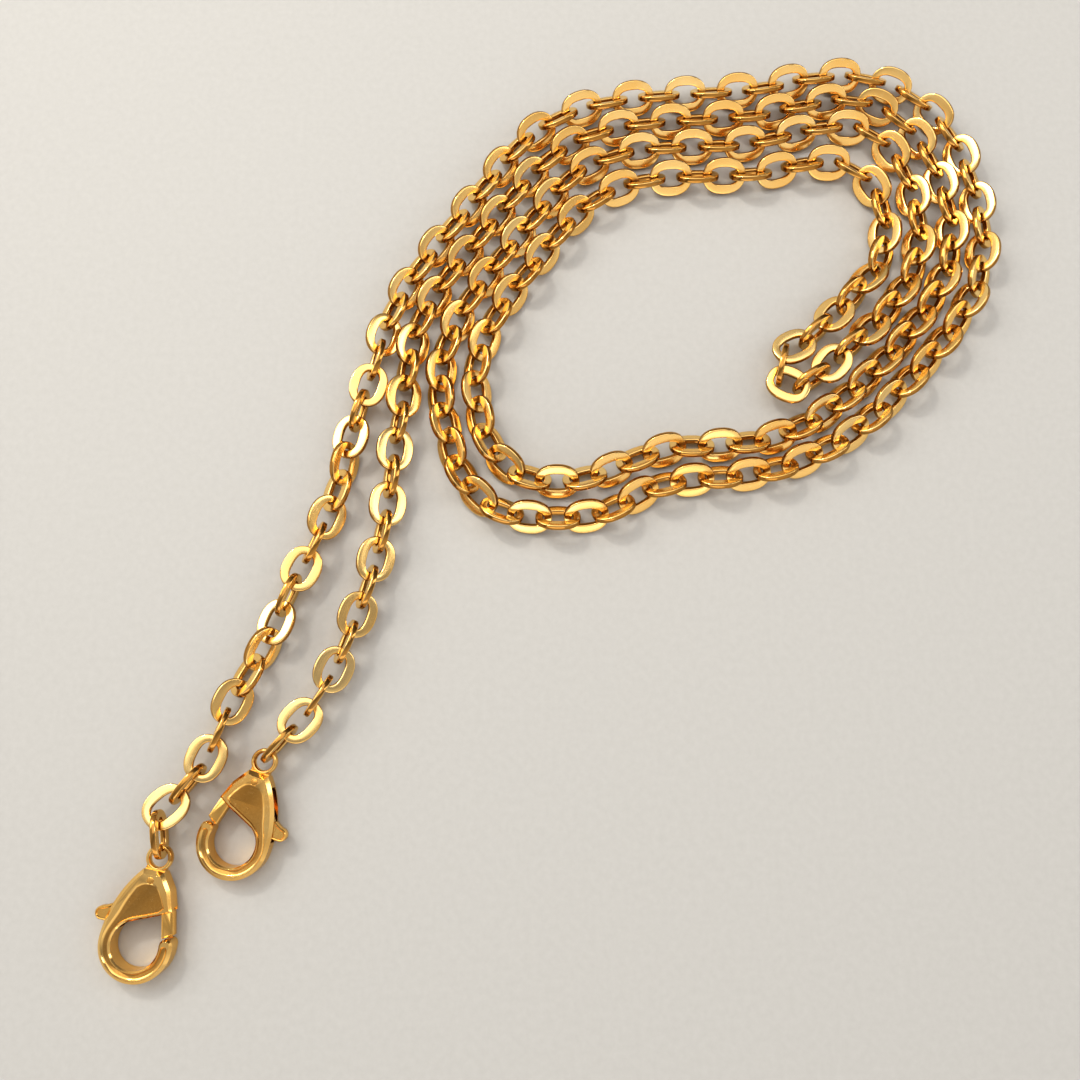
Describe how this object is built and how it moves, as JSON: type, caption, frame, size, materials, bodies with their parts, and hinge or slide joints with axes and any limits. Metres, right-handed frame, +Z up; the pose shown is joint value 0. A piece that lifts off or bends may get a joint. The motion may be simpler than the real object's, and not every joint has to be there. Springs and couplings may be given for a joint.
{
  "type": "chain with lobster clasps",
  "caption": "Long cable chain of flat-faced oval links with a lobster claw clasp on each end, lying folded in half and loosely coiled.",
  "frame": {"origin": "on the table, under the middle of the coiled chain with its two tails and clasps", "axes": "+Z up from the table, +Y from the clasps' end towards the far side of the coil, +X towards the coil's closed side"},
  "size_m": [0.1645, 0.1751, 0.0073],
  "materials": {
    "chain_gold": "polished yellow gold plate with a faint brushed grain on the flat faces",
    "clasp_gold": "polished yellow gold plate over a casting",
    "lever_gold": "polished yellow gold plate, a little more worn",
    "rivet_gold": "filed flush and plated",
    "spring_steel": "drawn spring wire"
  },
  "bodies": {
    "coil": {"a_tail_run": "chain_gold", "a_outer_left": "chain_gold", "a_outer_top": "chain_gold", "a_outer_right": "chain_gold", "a_bottom": "chain_gold", "a_inner_left": "chain_gold", "a_inner_top": "chain_gold", "a_inner_right": "chain_gold", "fold_links": "chain_gold", "b_inner_right": "chain_gold", "b_inner_top": "chain_gold", "b_inner_left": "chain_gold", "b_bottom": "chain_gold", "b_outer_right": "chain_gold", "b_outer_top": "chain_gold", "b_outer_left": "chain_gold", "b_tail_run": "chain_gold"},
    "a_link_01": {"a_link_01": "chain_gold"},
    "a_link_02": {"a_link_02": "chain_gold"},
    "a_link_03": {"a_link_03": "chain_gold"},
    "a_link_04": {"a_link_04": "chain_gold"},
    "a_link_05": {"a_link_05": "chain_gold"},
    "a_link_06": {"a_link_06": "chain_gold"},
    "a_link_07": {"a_link_07": "chain_gold"},
    "a_link_08": {"a_link_08": "chain_gold"},
    "a_link_09": {"a_link_09": "chain_gold"},
    "a_link_10": {"a_link_10": "chain_gold"},
    "a_link_11": {"a_link_11": "chain_gold"},
    "a_link_12": {"a_link_12": "chain_gold"},
    "b_link_12": {"b_link_12": "chain_gold"},
    "b_link_11": {"b_link_11": "chain_gold"},
    "b_link_10": {"b_link_10": "chain_gold"},
    "b_link_09": {"b_link_09": "chain_gold"},
    "b_link_08": {"b_link_08": "chain_gold"},
    "b_link_07": {"b_link_07": "chain_gold"},
    "b_link_06": {"b_link_06": "chain_gold"},
    "b_link_05": {"b_link_05": "chain_gold"},
    "b_link_04": {"b_link_04": "chain_gold"},
    "b_link_03": {"b_link_03": "chain_gold"},
    "b_link_02": {"b_link_02": "chain_gold"},
    "b_link_01": {"b_link_01": "chain_gold"},
    "clasp_a_body": {"clasp_a_hook": "clasp_gold", "clasp_a_rivet": "rivet_gold", "clasp_a_spring": "spring_steel"},
    "clasp_a_lever": {"clasp_a_lever": "lever_gold"},
    "clasp_b_body": {"clasp_b_hook": "clasp_gold", "clasp_b_rivet": "rivet_gold", "clasp_b_spring": "spring_steel"},
    "clasp_b_lever": {"clasp_b_lever": "lever_gold"}
  },
  "joints": [
    {"name": "a_link_12_hinge", "type": "hinge", "parent": "coil", "child": "a_link_12", "pos_m": [-0.04741, -0.01062, 0.0034], "axis": [-0.7656, 0.323, 0.5564], "range_deg": [0, 26]},
    {"name": "a_link_11_hinge", "type": "hinge", "parent": "a_link_12", "child": "a_link_11", "pos_m": [-0.04955, -0.01546, 0.00356], "axis": [-0.3554, 0.113, -0.9279], "range_deg": [0, 20]},
    {"name": "a_link_10_hinge", "type": "hinge", "parent": "a_link_11", "child": "a_link_10", "pos_m": [-0.05178, -0.02024, 0.00361], "axis": [-0.8919, 0.417, 0.175], "range_deg": [0, 26]},
    {"name": "a_link_09_hinge", "type": "hinge", "parent": "a_link_10", "child": "a_link_09", "pos_m": [-0.05371, -0.02516, 0.00357], "axis": [0.044, -0.0144, -0.9989], "range_deg": [0, 20]},
    {"name": "a_link_08_hinge", "type": "hinge", "parent": "a_link_09", "child": "a_link_08", "pos_m": [-0.05562, -0.03008, 0.00338], "axis": [-0.8858, 0.354, -0.2999], "range_deg": [0, 26]},
    {"name": "a_link_07_hinge", "type": "hinge", "parent": "a_link_08", "child": "a_link_07", "pos_m": [-0.0581, -0.03474, 0.00297], "axis": [-0.5001, 0.1857, 0.8458], "range_deg": [0, 15]},
    {"name": "a_link_06_hinge", "type": "hinge", "parent": "a_link_07", "child": "a_link_06", "pos_m": [-0.06078, -0.03929, 0.00302], "axis": [-0.612, 0.3586, -0.7049], "range_deg": [0, 26]},
    {"name": "a_link_05_hinge", "type": "hinge", "parent": "a_link_06", "child": "a_link_05", "pos_m": [-0.06284, -0.04415, 0.00346], "axis": [-0.7588, 0.3753, 0.5323], "range_deg": [0, 26]},
    {"name": "a_link_04_hinge", "type": "hinge", "parent": "a_link_05", "child": "a_link_04", "pos_m": [-0.06463, -0.04912, 0.00359], "axis": [-0.2997, 0.0776, -0.9509], "range_deg": [0, 20]},
    {"name": "a_link_03_hinge", "type": "hinge", "parent": "a_link_04", "child": "a_link_03", "pos_m": [-0.06675, -0.05396, 0.00356], "axis": [-0.9107, 0.3973, 0.1136], "range_deg": [0, 26]},
    {"name": "a_link_02_hinge", "type": "hinge", "parent": "a_link_03", "child": "a_link_02", "pos_m": [-0.07029, -0.05789, 0.00379], "axis": [-0.0255, -0.02, -0.9995], "range_deg": [0, 20]},
    {"name": "a_link_01_hinge", "type": "hinge", "parent": "a_link_02", "child": "a_link_01", "pos_m": [-0.07419, -0.06131, 0.00414], "axis": [-0.6608, 0.7505, -0.0068], "range_deg": [0, 26]},
    {"name": "clasp_a_swivel", "type": "hinge", "parent": "a_link_01", "child": "clasp_a_body", "pos_m": [-0.07206, -0.06702, 0.00332], "axis": [-0.0121, 0.1003, -0.9949], "range_deg": [-20, 60]},
    {"name": "b_link_12_hinge", "type": "hinge", "parent": "coil", "child": "b_link_12", "pos_m": [-0.03392, 0.00738, 0.00337], "axis": [0.4824, -0.0505, 0.8745], "range_deg": [0, 10]},
    {"name": "b_link_11_hinge", "type": "hinge", "parent": "b_link_12", "child": "b_link_11", "pos_m": [-0.03446, 0.00213, 0.0034], "axis": [-0.8943, 0.097, 0.4368], "range_deg": [0, 26]},
    {"name": "b_link_10_hinge", "type": "hinge", "parent": "b_link_11", "child": "b_link_10", "pos_m": [-0.03485, -0.00314, 0.00338], "axis": [0.4306, -0.0361, 0.9018], "range_deg": [0, 10]},
    {"name": "b_link_09_hinge", "type": "hinge", "parent": "b_link_10", "child": "b_link_09", "pos_m": [-0.03554, -0.00837, 0.00338], "axis": [-0.8913, 0.1155, 0.4384], "range_deg": [0, 26]},
    {"name": "b_link_08_hinge", "type": "hinge", "parent": "b_link_09", "child": "b_link_08", "pos_m": [-0.03653, -0.01356, 0.00339], "axis": [0.4257, -0.0738, 0.9018], "range_deg": [0, 10]},
    {"name": "b_link_07_hinge", "type": "hinge", "parent": "b_link_08", "child": "b_link_07", "pos_m": [-0.03773, -0.0187, 0.0034], "axis": [-0.8823, 0.2041, 0.4242], "range_deg": [0, 26]},
    {"name": "b_link_06_hinge", "type": "hinge", "parent": "b_link_07", "child": "b_link_06", "pos_m": [-0.03932, -0.02374, 0.00341], "axis": [0.401, -0.1176, 0.9085], "range_deg": [0, 10]},
    {"name": "b_link_05_hinge", "type": "hinge", "parent": "b_link_06", "child": "b_link_05", "pos_m": [-0.04103, -0.02873, 0.00343], "axis": [-0.8635, 0.2961, 0.4083], "range_deg": [0, 26]},
    {"name": "b_link_04_hinge", "type": "hinge", "parent": "b_link_05", "child": "b_link_04", "pos_m": [-0.043, -0.03363, 0.00347], "axis": [0.3605, -0.1332, 0.9232], "range_deg": [0, 10]},
    {"name": "b_link_03_hinge", "type": "hinge", "parent": "b_link_04", "child": "b_link_03", "pos_m": [-0.0451, -0.03848, 0.00352], "axis": [-0.8631, 0.376, 0.3371], "range_deg": [0, 26]},
    {"name": "b_link_02_hinge", "type": "hinge", "parent": "b_link_03", "child": "b_link_02", "pos_m": [-0.04799, -0.0429, 0.00375], "axis": [0.2166, -0.0892, 0.9722], "range_deg": [0, 10]},
    {"name": "b_link_01_hinge", "type": "hinge", "parent": "b_link_02", "child": "b_link_01", "pos_m": [-0.05143, -0.04688, 0.00417], "axis": [-0.7463, 0.6541, 0.1232], "range_deg": [0, 26]},
    {"name": "clasp_b_swivel", "type": "hinge", "parent": "b_link_01", "child": "clasp_b_body", "pos_m": [-0.05494, -0.05082, 0.00336], "axis": [-0.035, -0.0975, 0.9946], "range_deg": [-5, 60]},
    {"name": "clasp_a_lever_hinge", "type": "hinge", "parent": "clasp_a_body", "child": "clasp_a_lever", "pos_m": [-0.07292, -0.07094, 0.00307], "axis": [0.0131, 0.0614, -0.998], "range_deg": [0, 20], "stiffness_Nm_per_rad": 0.02, "springref_deg": -17.19, "deforming": ["clasp_a_spring"]},
    {"name": "clasp_b_lever_hinge", "type": "hinge", "parent": "clasp_b_body", "child": "clasp_b_lever", "pos_m": [-0.05628, -0.05468, 0.0031], "axis": [-0.0204, -0.0594, 0.998], "range_deg": [0, 20], "stiffness_Nm_per_rad": 0.02, "springref_deg": -17.19, "deforming": ["clasp_b_spring"]}
  ]
}
